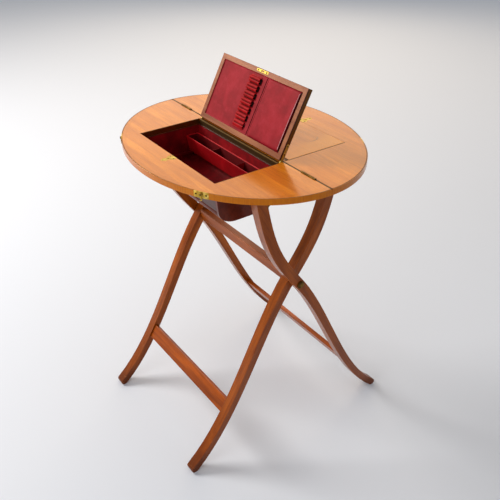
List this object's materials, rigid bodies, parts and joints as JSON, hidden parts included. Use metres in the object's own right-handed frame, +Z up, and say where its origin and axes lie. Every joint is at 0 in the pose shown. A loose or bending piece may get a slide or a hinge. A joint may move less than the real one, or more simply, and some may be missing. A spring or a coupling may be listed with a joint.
{
  "type": "folding writing table",
  "caption": "Oval folding writing table on crossed S-shaped legs, with two lidded sunken writing wells, a pen tray, locks and rim catches.",
  "frame": {"origin": "centre of the floor rectangle under the table, on the fold line", "axes": "+X along the fold to the right of the sitter, +Y from the sitter across the fold to the rear leaf, +Z up"},
  "size_m": [0.61, 0.572, 0.8656],
  "materials": {
    "satinwood": "golden satinwood veneer, french polished",
    "mahogany": "dark red mahogany, polished",
    "leg_wood": "brown mahogany, polished",
    "stretcher_wood": "orange-brown satinwood, polished",
    "red_leather": "crimson morocco leather",
    "brass": "lacquered brass",
    "steel": "bright steel"
  },
  "bodies": {
    "front_leaf": {"front_board": "satinwood", "front_well_walls": "mahogany", "front_well_ends": "mahogany", "front_well_floor": "mahogany", "front_well_lining": "red_leather", "tray_runners": "red_leather", "front_escutcheon": "brass", "front_lock_case": "brass", "front_lock_plate": "brass", "fold_hinge_front_plates": "brass", "fold_hinge_pins": "brass", "catch_plates": "brass", "catch_pivots": "brass", "outer_hinge_plates": "brass"},
    "front_lid_pins": {"front_lid_pins": "brass"},
    "front_lid": {"front_lid_panel": "satinwood", "front_lid_frame": "mahogany", "front_lid_leather": "red_leather", "pen_loops": "red_leather", "letter_wallet": "red_leather", "front_lid_strike": "brass", "front_lid_straps": "brass"},
    "front_bolt": {"front_lock_bolt": "steel"},
    "catch_left": {"catch_hook_left": "brass"},
    "catch_right": {"catch_hook_right": "brass"},
    "tray": {"pen_tray": "red_leather", "tray_dividers": "red_leather"},
    "rear_leaf": {"rear_board": "satinwood", "rear_well_walls": "mahogany", "rear_well_ends": "mahogany", "rear_well_floor": "mahogany", "rear_well_lining": "red_leather", "rear_escutcheon": "brass", "rear_lock_case": "brass", "rear_lock_plate": "brass", "fold_hinge_rear_plates": "brass", "keeper_plates": "brass", "keeper_studs": "brass", "inner_hinge_plates": "brass", "rear_lid_pins": "brass"},
    "rear_lid": {"rear_lid_panel": "satinwood", "rear_lid_frame": "mahogany", "rear_lid_leather": "red_leather", "rear_lid_strike": "brass", "rear_lid_straps": "brass"},
    "rear_bolt": {"rear_lock_bolt": "steel"},
    "outer_frame": {"outer_leg_left": "leg_wood", "outer_leg_right": "leg_wood", "outer_stretcher": "stretcher_wood", "outer_leg_plates": "brass", "pivot_bolts": "brass", "pivot_washers": "brass"},
    "inner_frame": {"inner_leg_left": "leg_wood", "inner_leg_right": "leg_wood", "inner_stretcher": "stretcher_wood", "pivot_rail": "leg_wood", "inner_leg_plates": "brass", "pivot_bushes": "brass"}
  },
  "joints": [
    {"name": "leaf_fold", "type": "hinge", "parent": "front_leaf", "child": "rear_leaf", "pos_m": [0, 0, 0.7222], "axis": [1, 0, 0], "range_deg": [0, 180]},
    {"name": "outer_frame_fold", "type": "hinge", "parent": "front_leaf", "child": "outer_frame", "pos_m": [0, -0.095, 0.705], "axis": [1, 0, 0], "range_deg": [0, 73.07]},
    {"name": "inner_frame_fold", "type": "hinge", "parent": "rear_leaf", "child": "inner_frame", "pos_m": [0, 0.095, 0.705], "axis": [-1, 0, 0], "range_deg": [0, 73.07]},
    {"name": "front_lid_follow", "type": "hinge", "parent": "front_leaf", "child": "front_lid_pins", "pos_m": [0, -0.0077, 0.7178], "axis": [1, 0, 0], "range_deg": [0, 117.4]},
    {"name": "front_lid_hinge", "type": "hinge", "parent": "front_lid_pins", "child": "front_lid", "pos_m": [0, -0.0077, 0.7178], "axis": [-1, 0, 0], "range_deg": [-117.4, 0]},
    {"name": "rear_lid_hinge", "type": "hinge", "parent": "rear_leaf", "child": "rear_lid", "pos_m": [0, 0.0077, 0.7178], "axis": [-1, 0, 0], "range_deg": [-62, 0]},
    {"name": "tray_slide", "type": "slide", "parent": "front_leaf", "child": "tray", "axis": [0, -1, 0], "range_m": [0, 0.095]},
    {"name": "front_bolt_slide", "type": "slide", "parent": "front_leaf", "child": "front_bolt", "axis": [0, 1, 0], "range_m": [0, 0.0055]},
    {"name": "rear_bolt_slide", "type": "slide", "parent": "rear_leaf", "child": "rear_bolt", "axis": [0, -1, 0], "range_m": [0, 0.0055]},
    {"name": "catch_left_turn", "type": "hinge", "parent": "front_leaf", "child": "catch_left", "pos_m": [-0.167, -0.21087, 0.717], "axis": [-0.4756, -0.8797, 0], "range_deg": [0, 180]},
    {"name": "catch_right_turn", "type": "hinge", "parent": "front_leaf", "child": "catch_right", "pos_m": [0.167, -0.21087, 0.717], "axis": [-0.4756, 0.8797, 0], "range_deg": [0, 180]}
  ],
  "couplings": [
    {"joint": "outer_frame_fold", "follows": "leaf_fold", "ratio": 0.40594},
    {"joint": "inner_frame_fold", "follows": "leaf_fold", "ratio": 0.40594},
    {"joint": "front_lid_follow", "follows": "leaf_fold", "ratio": 0.65222}
  ]
}
